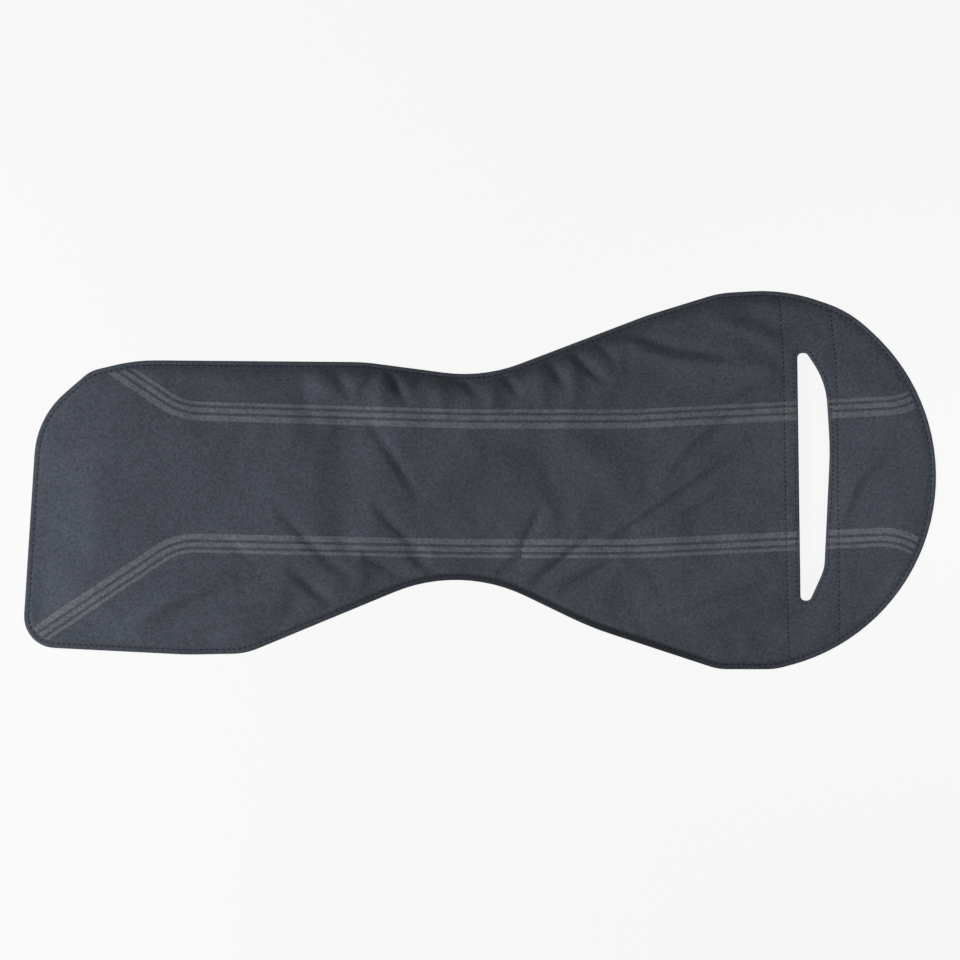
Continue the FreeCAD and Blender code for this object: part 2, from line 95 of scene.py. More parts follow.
def evenly(loop, step):
    """Points at about one step apart around a closed loop, run counter-clockwise."""
    x, y = loop.T
    if (x * np.roll(y, -1) - y * np.roll(x, -1)).sum() < 0:
        loop = loop[::-1]
    closed = np.vstack([loop, loop[:1]])
    return along_line(closed, step)[:-1]


def along_line(line, step):
    """Points at about one step apart along an open line, its ends among them."""
    along = np.concatenate([[0], np.cumsum(np.linalg.norm(np.diff(line, axis=0), axis=1))])
    where = np.linspace(0, along[-1], max(8, round(along[-1] / step)) + 1)
    return np.column_stack([np.interp(where, along, line[:, axis]) for axis in (0, 1)])


def inward(loop):
    """Unit vectors that point into a counter-clockwise loop from its points."""
    tangent = np.roll(loop, -1, axis=0) - np.roll(loop, 1, axis=0)
    tangent /= np.linalg.norm(tangent, axis=1)[:, None]
    return np.column_stack([-tangent[:, 1], tangent[:, 0]])


def distance_to(points, line, closed=True):
    """Distance from each point to a line of points."""
    start = line if closed else line[:-1]
    run = np.roll(line, -1, axis=0) - line if closed else np.diff(line, axis=0)
    squares = (run**2).sum(axis=1)
    away = np.empty(len(points))
    for number, point in enumerate(points):
        share = np.clip(((point - start) * run).sum(axis=1) / squares, 0, 1)
        away[number] = np.linalg.norm(start + run * share[:, None] - point, axis=1).min()
    return away


def inside(points, loop):
    """Which points lie within a closed loop."""
    x, y = points.T
    within = np.zeros(len(points), bool)
    for (x0, y0), (x1, y1) in zip(loop, np.roll(loop, -1, axis=0)):
        crosses = (y0 > y) != (y1 > y)
        if y0 != y1:
            within ^= crosses & (x < (x1 - x0) * (y - y0) / (y1 - y0) + x0)
    return within


outline = evenly(flat_loops("back_rim", 0.0)[0], CLOTH_STEP)
crown_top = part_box("front_panel")[1].z
slot = evenly(flat_loops("front_panel", crown_top)[1], SLOT_STEP)
outline_in, slot_in = inward(outline), inward(slot)

# Two rows of stitching beside the slot hold the facing behind the panel, given by bends in millimetres.
FACING_ROWS = [
    np.array([(190.4, 113.5), (192.6, 76.2), (194.8, -63.7), (196.3, -112.0)]) * MM,
    np.array([(222.7, 107.0), (226.3, 69.9), (227.9, -50.9), (228.5, -100.5)]) * MM,
]

# The cloth is laid out flat as triangles: close rows along the hem, the slot and the facing's stitching, and an
# even field between them.
HEM_ROWS = (0.0, 0.7, 1.5, 2.3, 3.1, 4.0, 5.3, 7.2)
SLOT_ROWS = (0.0, 1.1, 2.3, 3.5)
FIELD_FROM_HEM = 9.0 * MM
FIELD_FROM_SLOT = 5.0 * MM
FIELD_FROM_ROW = 2.6 * MM
hem_rows = [outline + outline_in * inset * MM for inset in HEM_ROWS]
slot_rows = [slot - slot_in * inset * MM for inset in SLOT_ROWS]
facing_rows = []
for line in FACING_ROWS:
    row = along_line(line, CLOTH_STEP)
    facing_rows += [row + np.array((aside, 0)) * MM for aside in (-1.2, 0.0, 1.2)]
low, high = outline.min(axis=0), outline.max(axis=0)
field_x = np.arange(low[0], high[0], CLOTH_STEP)
field_y = np.arange(low[1], high[1], CLOTH_STEP * math.sqrt(3) / 2)
field = np.array([
    (x + (row % 2) * CLOTH_STEP / 2, y) for row, y in enumerate(field_y) for x in field_x
])
field = field[inside(field, outline)]
field = field[distance_to(field, outline) > FIELD_FROM_HEM]
field = field[(distance_to(field, slot) > FIELD_FROM_SLOT) & ~inside(field, slot)]
for line in FACING_ROWS:
    field = field[distance_to(field, line, closed=False) > FIELD_FROM_ROW]
flat = np.vstack(hem_rows + slot_rows + facing_rows + [field])
slot_start = len(outline) * len(hem_rows)
borders = []
for first, count in ((0, len(outline)), (slot_start, len(slot))):
    borders += [(first + number, first + (number + 1) % count) for number in range(count)]
verts, edges, faces, *origins = delaunay_2d_cdt([Vector(point) for point in flat], borders, [], 1, 1e-7)
flat = np.array([tuple(point) for point in verts])
in_slot = inside(np.array([flat[list(face)].mean(axis=0) for face in faces]), slot)
faces = [face for face, hole in zip(faces, in_slot) if not hole]
hem_gap, slot_gap = distance_to(flat, outline), distance_to(flat, slot)
row_gap = np.minimum(*(distance_to(flat, line, closed=False) for line in FACING_ROWS))

# Puff of the cloth over the hem: a short steep rise at the stitching, then a long gentle one. The steep rise is
# given along the cover in millimetres, by its place, height and width, for the upper and the lower edge.
CROWN = 6.3
RISE_FROM = 2.2
GENTLE_RISE = 42.0
FREE_OVER = 7 * MM
STEEP_UPPER = [
    (-290, 0.5, 8), (-236, 1.3, 8), (-220, 3.2, 11), (-112, 3.8, 12), (-92, 8.4, 18), (-30, 7.8, 16),
    (20, 7.6, 16), (34, 8.6, 19), (80, 8.2, 18), (94, 4.4, 11), (184, 3.4, 9), (212, 1.2, 8), (290, 0.7, 8),
]
STEEP_LOWER = [
    (-290, 0.5, 8), (-220, 0.9, 9), (-150, 0.9, 9), (-90, 1.2, 9), (130, 1.2, 9), (180, 1.0, 9),
    (225, 0.7, 8), (290, 0.7, 8),
]
x, y = flat.T / MM
upper = np.clip(y / 40 + 0.5, 0, 1)
steep, steep_over = (
    upper * np.interp(x, *zip(*[(place, values[part]) for place, *values in STEEP_UPPER]))
    + (1 - upper) * np.interp(x, *zip(*[(place, values[part]) for place, *values in STEEP_LOWER]))
    for part in (0, 1)
)
from_hem = hem_gap / MM - RISE_FROM
climb = np.clip(from_hem / steep_over, 0, 1)
ease = np.clip(from_hem / GENTLE_RISE, 0, 1)
height = HEM_TOP + MM * (steep * (1 - (1 - climb) ** 2) + (CROWN - steep) * (3 - 2 * ease) * ease**2)
free = np.clip((hem_gap - HEM_WIDTH) / FREE_OVER, 0, 1)

# Creases that the cloth has kept from use, in millimetres: bends, half width and height. A height below zero is
# a fold that dips. Every fold is highest in the middle and keeps part of its height at its ends.
FOLD_ENDS = 0.1
FOLD_FULLNESS = 0.7
CREASES = [
    ([(87, 87), (123, 76), (153, 72.5), (184, 71)], 5, 3.4), ([(87, 95), (124, 84), (154, 80)], 3, -2.0),
    ([(147, 103), (176, 93.5), (190, 88)], 4.5, 2.8), ([(190, 63), (157, 46), (130, 22), (113, -2)], 4.5, 4.2),
    ([(167, 25), (118, -9), (80, -35)], 4, 3.8), ([(152, -5), (103, -33)], 3.5, 3.2),
    ([(260, 25), (238, -1), (227, -31)], 4.5, 3.2), ([(246, 16), (231, -18)], 3.5, 1.6),
    ([(-69.5, 35.5), (-51, 9), (-40, -10)], 3.4, -2.2), ([(-66, -17), (-36, -47)], 3.2, -2.2),
    ([(-126, -21), (-96, -51), (-81, -62)], 3.5, -2.2), ([(-163.5, -36), (-144.5, -51)], 3.2, -1.4),
    ([(39, -19), (20.5, -57)], 3.2, -3.4), ([(69, -38.5), (35, -65)], 3.2, -4.2),
    ([(-181, -90), (-127, -82)], 4.5, 3.2), ([(-219, -91), (-200, -78), (-160, -62)], 4.5, 3.2),
    ([(-166, -101), (-136, -97)], 3.5, 2.4), ([(130, -90), (188, -79)], 4.5, 3.6),
    ([(112, -83), (176, -64)], 5, 3.4),
]
# Puckers that the elastic draws along both edges of the waist: folds that run in from the hem, and dips between
# them. They start past the topstitch.
PUCKERS_FROM = 3.2
PUCKERS_OVER = 3
PUCKERS = [
    ([(-104, 70), (-96, 50)], 5.5, 1.6), ([(-92, 69), (-83, 55)], 3.2, -2.0), ([(-76, 55), (-66, 67)], 3, -2.6),
    ([(-63, 66), (-62, 42)], 5.5, 2.0), ([(-58, 68), (-47, 51)], 3, -3.6), ([(-44, 55), (-34, 66)], 3.2, -2.4),
    ([(-27, 64), (-24, 44)], 5.5, 1.8), ([(-15, 67), (-2, 55)], 3, -3.2), ([(7, 64), (8, 42)], 5, 2.0),
    ([(13, 69), (25, 55)], 3, -3.0), ([(36, 72), (40, 48)], 5, 2.0), ([(43, 76), (54, 60)], 3, -3.2),
    ([(58, 77), (60, 52)], 4.5, 1.8), ([(55, 83), (68, 72), (79, 63)], 3, -3.2), ([(74, 87), (86, 76)], 3, -2.4),
    ([(-119, -58), (-105, -69.5), (-94, -78.5)], 3.2, -2.8), ([(-72, -49), (-57, -56.5), (-42, -63)], 3, -3),
    ([(-44, -47), (-33, -56), (-22, -61)], 3, -3),
    ([(24, -50), (13, -62)], 3, -3.2), ([(84, -54), (53, -70)], 3.4, -4.0), ([(104, -100), (146, -108)], 4, -2.6),
]
drawn_in = np.clip((hem_gap / MM - PUCKERS_FROM) / PUCKERS_OVER, 0, 1)
for folds, held_by in ((CREASES, free), (PUCKERS, drawn_in)):
    for bends, half_width, crest in folds:
        bends = np.array(bends, float)
        runs = np.linalg.norm(np.diff(bends, axis=0), axis=1)
        away, along = np.full(len(flat), np.inf), np.zeros(len(flat))
        for number, run in enumerate(runs):
            (x0, y0), (x1, y1) = bends[number:number + 2]
            share = np.clip(((x - x0) * (x1 - x0) + (y - y0) * (y1 - y0)) / run**2, 0, 1)
            gap = np.hypot(x - x0 - share * (x1 - x0), y - y0 - share * (y1 - y0))
            along = np.where(gap < away, runs[:number].sum() + share * run, along)
            away = np.minimum(gap, away)
        fade = np.sin(np.pi * (FOLD_ENDS + (1 - 2 * FOLD_ENDS) * along / runs.sum())) ** FOLD_FULLNESS
        height += crest * MM * np.exp(-((away / half_width) ** 2)) * fade * held_by
height = np.maximum(height, HEM_TOP)

# Slack: soft swells, given by length and height in millimetres, that are lower towards both ends of the cover.
SWELLS = [(70, 2.2), (34, 2.1), (16, 0.75)]
SWELL_MIDDLE = 40
SWELL_REACH = 165
SWELL_LEAST = 0.35
slack_share = SWELL_LEAST + (1 - SWELL_LEAST) * np.exp(-(((x - SWELL_MIDDLE) / SWELL_REACH) ** 6))
for wave, swell in SWELLS:
    waves = np.array([noise.noise(Vector((px / wave, py / wave, wave))) for px, py in zip(x, y)])
    height += swell * MM * waves * free * slack_share

# Every row of stitching draws the cloth down into a narrow channel, and the raw edges are turned under.
CHANNEL = 0.4 * MM
CHANNEL_WIDTH = 0.8 * MM
TURNED = 0.7 * MM
TURNED_WIDTH = 0.5 * MM
for gap in (hem_gap - EDGE_STITCH_INSET, slot_gap - SLOT_STITCH_INSET, row_gap):
    height -= CHANNEL * np.exp(-((gap / CHANNEL_WIDTH) ** 2))
for gap in (hem_gap, slot_gap):
    height -= TURNED * np.exp(-gap / TURNED_WIDTH)

panel_mesh = bpy.data.meshes.new("front_panel_cloth")
panel_mesh.from_pydata([(px, py, pz) for (px, py), pz in zip(flat, height)], [], faces)

# Painted shade: the cloth's colour is darkened, standing in for shade, in a band just inside the upper hem and on
# the lower hem itself. Each pair is a place along the cover in millimetres and the share of colour lost there.
PAINTED_SHADE_UPPER = [
    (-290, 0.0), (-236, 0.05), (-200, 0.12), (-112, 0.14), (-92, 0.3), (-35, 0.28), (0, 0.2), (30, 0.36),
    (85, 0.36), (95, 0.16), (140, 0.16), (184, 0.2), (205, 0.05), (290, 0.0),
]
PAINTED_SHADE_LOWER = [
    (-290, 0.03), (-230, 0.15), (-150, 0.15), (-90, 0.3), (-70, 0.42), (0, 0.52), (70, 0.56), (80, 0.66),
    (133, 0.66), (145, 0.42), (197, 0.3), (215, 0.12), (290, 0.03),
]
UPPER_BAND = 5.5
UPPER_BAND_WIDTH = 4.5
LOWER_BAND_END = 4.8
from_edge = hem_gap / MM
band = np.exp(-(((from_edge - UPPER_BAND) / UPPER_BAND_WIDTH) ** 2))
painted_shade = upper * np.interp(x, *zip(*PAINTED_SHADE_UPPER)) * band
painted_shade += (1 - upper) * np.interp(x, *zip(*PAINTED_SHADE_LOWER)) * np.clip(LOWER_BAND_END - from_edge, 0, 1)
panel_mesh.attributes.new("painted_shade", "FLOAT", "POINT").data.foreach_set("value", painted_shade)
front_panel = bpy.data.objects.new("front_panel_cloth", panel_mesh)
bpy.context.collection.objects.link(front_panel)

# The elastic's pull: the cloth beside the waist is longer than the stitched hem that holds it, so it buckles.
SIM_SCALE = 10.0
SIM_FRAMES = 30
WAIST_MIDDLE = -5
WAIST_REACH = 95
WAIST_DEPTH = 22 * MM
SLOT_HELD = 4 * MM
ROW_HELD = 1.4 * MM
panel_mesh.transform(Matrix.Scale(SIM_SCALE, 4))
held = front_panel.vertex_groups.new(name="held")
slack = front_panel.vertex_groups.new(name="slack")
waist = np.exp(-(((x - WAIST_MIDDLE) / WAIST_REACH) ** 4)) * np.exp(-hem_gap / WAIST_DEPTH)
sewn = (hem_gap < HEM_WIDTH + 0.3 * MM) | (slot_gap < SLOT_HELD) | (row_gap < ROW_HELD)
for number in range(len(flat)):
    held.add([number], float(sewn[number]), "REPLACE")
    slack.add([number], float(waist[number]), "REPLACE")
drape = front_panel.modifiers.new("drape", "CLOTH")
drape.settings.quality = 6
drape.settings.mass = 0.3
drape.settings.tension_stiffness = 30
drape.settings.compression_stiffness = 30
drape.settings.shear_stiffness = 15
drape.settings.bending_stiffness = 2
drape.settings.vertex_group_mass = "held"
drape.settings.vertex_group_shrink = "slack"
drape.settings.shrink_min = -0.004
drape.settings.shrink_max = -0.07
drape.settings.effector_weights.gravity = 0
drape.collision_settings.use_collision = False
drape.point_cache.frame_end = SIM_FRAMES
for step in range(1, SIM_FRAMES + 1):
    bpy.context.scene.frame_set(step)
settled = front_panel.evaluated_get(bpy.context.evaluated_depsgraph_get())
draped = bpy.data.meshes.new_from_object(settled)
front_panel.modifiers.clear()
front_panel.vertex_groups.clear()
front_panel.data = draped
draped.transform(Matrix.Scale(1 / SIM_SCALE, 4))
bpy.context.scene.frame_set(1)
bm = bmesh.new()
bm.from_mesh(front_panel.data)
bm.verts.index_update()
loose = [vert for vert in bm.verts if hem_gap[vert.index] > HEM_WIDTH and slot_gap[vert.index] > SLOT_HELD]
bmesh.ops.smooth_vert(bm, verts=loose, factor=0.25, use_axis_x=True, use_axis_y=True, use_axis_z=True)
bmesh.ops.recalc_face_normals(bm, faces=bm.faces)
if sum(face.normal.z for face in bm.faces) < 0:
    bmesh.ops.reverse_faces(bm, faces=bm.faces)
for face in bm.faces:
    face.smooth = True
bm.to_mesh(front_panel.data)
cloth_surface = BVHTree.FromBMesh(bm)
bm.free()
thickness = front_panel.modifiers.new("cloth thickness", "SOLIDIFY")
thickness.thickness = PANEL_CLOTH
thickness.offset = -1


def link(tree, out_node, out_name, in_node, in_name):
    """Join one node's output to another node's input."""
    tree.links.new(out_node.outputs[out_name], in_node.inputs[in_name])


def math_node(tree, operation, first, second=None):
    """A Math node on outputs or numbers. Returns its result."""
    node = tree.nodes.new("ShaderNodeMath")
    node.operation = operation
    for socket, source in zip(node.inputs, (first, second)):
        if isinstance(source, (int, float)):
            socket.default_value = source
        elif source is not None:
            tree.links.new(source, socket)
    return node.outputs[0]


def mottled(tree, coords, scale, detail, spread):
    """A soft random factor around 1 that lightens and darkens a dye."""
    cloud = tree.nodes.new("ShaderNodeTexNoise")
    cloud.inputs["Scale"].default_value = scale
    cloud.inputs["Detail"].default_value = detail
    link(tree, coords, "Object", cloud, "Vector")
    shade = tree.nodes.new("ShaderNodeMapRange")
    shade.inputs["From Min"].default_value = 0.3
    shade.inputs["From Max"].default_value = 0.7
    shade.inputs["To Min"].default_value = 1 - spread
    shade.inputs["To Max"].default_value = 1 + spread
    link(tree, cloud, "Fac", shade, "Value")
    return shade.outputs["Result"]


def twill(name, warp_colour, weft_colour, pitch, blotch=0.28, cloudy=0.07, depth=0.00012):
    """Woven twill: warp and weft yarns that pass over each other two by two, each row moved on by one yarn."""
    material = bpy.data.materials.new(name)
    material.use_nodes = True
    tree = material.node_tree
    shader = tree.nodes["Principled BSDF"]
    shader.inputs["Roughness"].default_value = 0.8
    shader.inputs["Specular IOR Level"].default_value = 0.2
    shader.inputs["Sheen Weight"].default_value = 0.08
    shader.inputs["Sheen Roughness"].default_value = 0.5
    coords = tree.nodes.new("ShaderNodeTexCoord")
    wander = tree.nodes.new("ShaderNodeTexNoise")
    wander.inputs["Scale"].default_value = 160
    wander.inputs["Detail"].default_value = 2
    link(tree, coords, "Object", wander, "Vector")
    weave = tree.nodes.new("ShaderNodeMapping")
    weave.inputs["Scale"].default_value = (1 / pitch, 1 / pitch, 1 / pitch)
    axes = tree.nodes.new("ShaderNodeSeparateXYZ")
    link(tree, coords, "Object", weave, "Vector")
    link(tree, weave, "Vector", axes, "Vector")
    drift = math_node(tree, "MULTIPLY", wander.outputs["Fac"], 2.2)
    across = math_node(tree, "ADD", axes.outputs["X"], drift)
    up = math_node(tree, "SUBTRACT", axes.outputs["Y"], drift)
    step = math_node(tree, "SUBTRACT", math_node(tree, "FLOOR", across), math_node(tree, "FLOOR", up))
    over = math_node(tree, "LESS_THAN", math_node(tree, "FLOORED_MODULO", step, 4.0), 2.0)
    yarn = tree.nodes.new("ShaderNodeMix")
    tree.links.new(over, yarn.inputs["Factor"])
    tree.links.new(math_node(tree, "PINGPONG", up, 0.5), yarn.inputs["A"])
    tree.links.new(math_node(tree, "PINGPONG", across, 0.5), yarn.inputs["B"])
    colour = tree.nodes.new("ShaderNodeMix")
    colour.data_type = "RGBA"
    colour.inputs["A"].default_value = (*weft_colour, 1)
    colour.inputs["B"].default_value = (*warp_colour, 1)
    tree.links.new(over, colour.inputs["Factor"])
    uneven = math_node(
        tree, "MULTIPLY", mottled(tree, coords, 600, 3, blotch), mottled(tree, coords, 26, 2, cloudy)
    )
    # Painted shade: a point attribute on the mesh darkens the dye by its share; cloth without it reads 0 and keeps
    # its dye.
    painted_shade_input = tree.nodes.new("ShaderNodeAttribute")
    painted_shade_input.attribute_name = "painted_shade"
    uneven = math_node(tree, "MULTIPLY", uneven, math_node(tree, "SUBTRACT", 1.0, painted_shade_input.outputs["Fac"]))
    dye_and_painted_shade = tree.nodes.new("ShaderNodeVectorMath")
    dye_and_painted_shade.operation = "SCALE"
    tree.links.new(colour.outputs["Result"], dye_and_painted_shade.inputs[0])
    tree.links.new(uneven, dye_and_painted_shade.inputs["Scale"])
    link(tree, dye_and_painted_shade, "Vector", shader, "Base Color")
    bump = tree.nodes.new("ShaderNodeBump")
    bump.inputs["Strength"].default_value = 0.35
    bump.inputs["Distance"].default_value = depth
    tree.links.new(yarn.outputs["Result"], bump.inputs["Height"])
    link(tree, bump, "Normal", shader, "Normal")
    return material


YARN_PITCH = 0.36 * MM
front_panel.data.materials.clear()
front_panel.data.materials.append(twill("slate twill", SLATE_WARP, SLATE_WEFT, YARN_PITCH))
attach(front_panel, "root")
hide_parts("front_panel")

# Printed stripes
# Two sets of three grey stripes, screen printed on the panel so thinly that the weave still shows. They keep the
# outlines of the CAD film and follow every pucker of the cloth that carries them.
FILM_LIFT = 0.12 * MM
FILM_CUT = 1.6 * MM
PRINT_WARP = (0.160, 0.170, 0.186)
PRINT_WEFT = (0.082, 0.088, 0.101)
print_twill = twill("grey print on twill", PRINT_WARP, PRINT_WEFT, YARN_PITCH, blotch=0.3)


def onto_cloth(point, lift):
    """A point moved straight up or down to lie just over the panel's cloth, and the cloth's slope there."""
    place, normal, *rest = cloth_surface.ray_cast(Vector((point[0], point[1], 0.1)), Vector((0, 0, -1)))
    if place is None:
        place, normal, *rest = cloth_surface.find_nearest(Vector((point[0], point[1], HEM_TOP)))
    return place + normal * lift, normal


for node in ("upper_stripes", "lower_stripes"):
    bm = bmesh.new()
    bm.from_mesh(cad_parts[node].data)
    bmesh.ops.remove_doubles(bm, verts=bm.verts, dist=0.002 * MM)
    bm.normal_update()
    under = [face for face in bm.faces if face.normal.z < 0.3]
    bmesh.ops.delete(bm, geom=under, context="FACES")
    low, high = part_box(node)
    for axis in (0, 1):
        normal = Vector((axis == 0, axis == 1, 0))
        for place in np.arange(low[axis] + FILM_CUT, high[axis], FILM_CUT):
            whole = bm.verts[:] + bm.edges[:] + bm.faces[:]
            bmesh.ops.bisect_plane(bm, geom=whole, plane_co=normal * place, plane_no=normal)
    for vert in bm.verts:
        vert.co = onto_cloth(vert.co, FILM_LIFT)[0]
    bmesh.ops.recalc_face_normals(bm, faces=bm.faces)
    for face in bm.faces:
        face.smooth = True
        if face.normal.z < 0:
            face.normal_flip()
    mesh = bpy.data.meshes.new(f"{node}_print")
    bm.to_mesh(mesh)
    bm.free()
    mesh.materials.append(print_twill)
    film = bpy.data.objects.new(f"{node}_print", mesh)
    bpy.context.collection.objects.link(film)
    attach(film, "root")
    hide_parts(node)

# Slot facing
# A strip of plain dark cloth sewn behind the panel from hem to hem, with the same slot, so that the slot can't
# tear. Two straight rows of stitching hold its long sides.
FACING_CLOTH = 0.5 * MM
FACING_GAP = 0.3 * MM
FACING_SIDES = [((188.5, 124.0), (194.5, -124.0), -1), ((225.0, 124.0), (231.0, -124.0), 1)]
LINING_WARP = (0.052, 0.058, 0.071)
LINING_WEFT = (0.034, 0.038, 0.048)
LINING_PITCH = 0.4 * MM
bm = bmesh.new()
bm.from_mesh(front_panel.data)
for (x0, y0), (x1, y1), side in FACING_SIDES:
    whole = bm.verts[:] + bm.edges[:] + bm.faces[:]
    across = Vector((y0 - y1, x1 - x0, 0)).normalized() * side
    at = Vector((x0, y0, 0)) * MM
    bmesh.ops.bisect_plane(bm, geom=whole, plane_co=at, plane_no=across, clear_outer=True)
hemmed = [vert for vert in bm.verts if distance_to(np.array([vert.co.xy]), outline)[0] < HEM_WIDTH]
bmesh.ops.delete(bm, geom=hemmed, context="VERTS")
for vert in bm.verts:
    vert.co.z -= PANEL_CLOTH + FACING_GAP
mesh = bpy.data.meshes.new("slot_facing_cloth")
bm.to_mesh(mesh)
# Its flat cut is its plan, before the panel's puff shapes it.
bm.normal_update()
facing_area = sum(face.calc_area() * abs(face.normal.z) for face in bm.faces)
bm.free()
mesh.materials.clear()
mesh.materials.append(twill("dark lining cloth", LINING_WARP, LINING_WEFT, LINING_PITCH))
slot_facing = bpy.data.objects.new("slot_facing_cloth", mesh)
bpy.context.collection.objects.link(slot_facing)
thickness = slot_facing.modifiers.new("cloth thickness", "SOLIDIFY")
thickness.thickness = FACING_CLOTH
thickness.offset = -1
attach(slot_facing, "root")
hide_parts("slot_facing")

# Back rim
# A band of the same twill, turned under all round. Its inner edge is folded over into a tunnel hem, which the
# elastic gathers into small ripples.
RIM_CLOTH = 0.6 * MM
RIM_STEP = 4.0 * MM
# Each pair is a distance in from the outline and a level over the ground, in millimetres.
RIM_PROFILE = [
    (0.3, 0.75), (0.8, 0.35), (2.5, 0.3), (6.0, 0.3), (10.0, 0.3), (14.0, 0.3), (18.0, 0.3), (21.5, 0.3),
    (25.0, 0.3), (28.5, 0.35), (29.7, 0.8), (30.0, 1.35), (29.7, 1.9), (28.5, 2.3), (25.0, 2.4), (22.0, 2.3),
    (21.2, 1.8), (21.0, 1.2),
]
RIPPLE = 1.1 * MM
RIPPLE_LENGTH = 15.0 * MM
RIPPLE_DRIFT = 1.7
DRIFT_LENGTH = 61 * MM
RIPPLE_FROM = 6
RIPPLE_OVER = 24
INSET_STEP = 1.0 * MM
rim_outline = evenly(flat_loops("back_rim", 0.0)[0], RIM_STEP)


def ring_at(inset):
    """The outline drawn in by a distance, with its corners rounded off as an elastic edge rounds them."""
    loop = rim_outline.copy()
    for part in range(int(round(inset / INSET_STEP))):
        loop = loop + inward(loop) * INSET_STEP
        loop = 0.5 * loop + 0.25 * (np.roll(loop, 1, axis=0) + np.roll(loop, -1, axis=0))
    rest = inset - round(inset / INSET_STEP) * INSET_STEP
    return loop + inward(loop) * rest


def ripple_at(inset):
    """Height of the rim's ripples around the loop, which grow towards the gathered edge."""
    along = np.arange(len(rim_outline)) * RIM_STEP
    wave = np.sin(along * 2 * math.pi / RIPPLE_LENGTH + RIPPLE_DRIFT * np.sin(along / DRIFT_LENGTH))
    return RIPPLE * (0.5 + 0.5 * wave) * np.clip((inset / MM - RIPPLE_FROM) / RIPPLE_OVER, 0, 1)


def ring_band(name, profile, closed):
    """A band that runs all round the cover, extruded row by row from its first ring."""
    bm = bmesh.new()
    rows = profile + profile[:1] if closed else profile
    ring, ripple = ring_at(rows[0][0] * MM), ripple_at(rows[0][0] * MM)
    first = [bm.verts.new((px, py, rows[0][1] * MM + lift)) for (px, py), lift in zip(ring, ripple)]
    row_edges = [bm.edges.new((first[number - 1], first[number])) for number in range(len(first))]
    for inset, level in rows[1:]:
        ring, ripple = ring_at(inset * MM), ripple_at(inset * MM)
        grown = bmesh.ops.extrude_edge_only(bm, edges=row_edges)["geom"]
        row_edges = [item for item in grown if isinstance(item, bmesh.types.BMEdge)]
        moved = [item for item in grown if isinstance(item, bmesh.types.BMVert)]
        for number, vert in enumerate(moved):
            vert.co = (*ring[number], level * MM + ripple[number])
    if closed:
        bmesh.ops.remove_doubles(bm, verts=bm.verts, dist=0.001 * MM)
    bmesh.ops.recalc_face_normals(bm, faces=bm.faces)
    for face in bm.faces:
        face.smooth = True
    mesh = bpy.data.meshes.new(name)
    bm.to_mesh(mesh)
    bm.free()
    band = bpy.data.objects.new(name, mesh)
    bpy.context.collection.objects.link(band)
    return band


back_rim = ring_band("back_rim_cloth", RIM_PROFILE, closed=False)
# Its flat cut: the length of each ring, before the elastic ripples it.
ring_lengths = np.array([loop_length(ring_at(inset * MM)) for inset, level in RIM_PROFILE])
back_rim.data.materials.append(twill("slate twill back", SLATE_WARP, SLATE_WEFT, YARN_PITCH))
thickness = back_rim.modifiers.new("cloth thickness", "SOLIDIFY")
thickness.thickness = RIM_CLOTH
thickness.offset = 0
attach(back_rim, "root")
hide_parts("back_rim")

# Rim elastic
# A flat braided band of black rubber thread and polyester, sewn into a closed loop. It lies free in the tunnel hem
# and ripples with it.
ELASTIC_PROFILE = [
    (22.4, 0.95), (24.0, 0.9), (27.0, 0.9), (28.4, 0.95), (28.7, 1.3), (28.4, 1.7), (27.0, 1.75), (24.0, 1.75),
    (22.4, 1.7), (22.1, 1.3),
]
ELASTIC_RIB = 900
rim_elastic = ring_band("rim_elastic_band", ELASTIC_PROFILE, closed=True)
braid = bpy.data.materials.new("braided black elastic")
braid.use_nodes = True
braid_shader = braid.node_tree.nodes["Principled BSDF"]
braid_shader.inputs["Roughness"].default_value = 0.7
braid_coords = braid.node_tree.nodes.new("ShaderNodeTexCoord")
ribs = braid.node_tree.nodes.new("ShaderNodeTexVoronoi")
ribs.inputs["Scale"].default_value = ELASTIC_RIB
link(braid.node_tree, braid_coords, "Object", ribs, "Vector")
rib_colour = braid.node_tree.nodes.new("ShaderNodeValToRGB")
rib_colour.color_ramp.elements[0].color = (0.028, 0.028, 0.031, 1)
rib_colour.color_ramp.elements[1].color = (0.012, 0.012, 0.013, 1)
link(braid.node_tree, ribs, "Distance", rib_colour, "Fac")
link(braid.node_tree, rib_colour, "Color", braid_shader, "Base Color")
rim_elastic.data.materials.append(braid)
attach(rim_elastic, "root")
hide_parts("rim_elastic")

# Stitching
# Lockstitch in dark polyester thread: a topstitch all round the hem, a row close around the slot, and the two rows
# that hold the facing. Each stitch lies pressed into the cloth.
THREAD = 0.34 * MM
THREAD_LIFT = 0.1 * MM
THREAD_COLOUR = (0.014, 0.015, 0.019)
PLY_SCALE = 900
# Each row: its name, its lines of stitches, whether they close, and half a stitch's length.
STITCH_ROWS = [
    ("edge_topstitch", [evenly(outline + outline_in * EDGE_STITCH_INSET, 3.5 * MM)], True, 1.15 * MM),
    ("slot_stitching", [evenly(slot - slot_in * SLOT_STITCH_INSET, 3.0 * MM)], True, 0.9 * MM),
    ("facing_stitching", [along_line(line, 3.0 * MM) for line in FACING_ROWS], False, 0.9 * MM),
]
thread = bpy.data.materials.new("dark polyester thread")
thread.use_nodes = True
thread_shader = thread.node_tree.nodes["Principled BSDF"]
thread_shader.inputs["Roughness"].default_value = 0.6
thread_shader.inputs["Specular IOR Level"].default_value = 0.3
thread_coords = thread.node_tree.nodes.new("ShaderNodeTexCoord")
ply = thread.node_tree.nodes.new("ShaderNodeTexWave")
ply.inputs["Scale"].default_value = PLY_SCALE
ply.bands_direction = "DIAGONAL"
link(thread.node_tree, thread_coords, "Object", ply, "Vector")
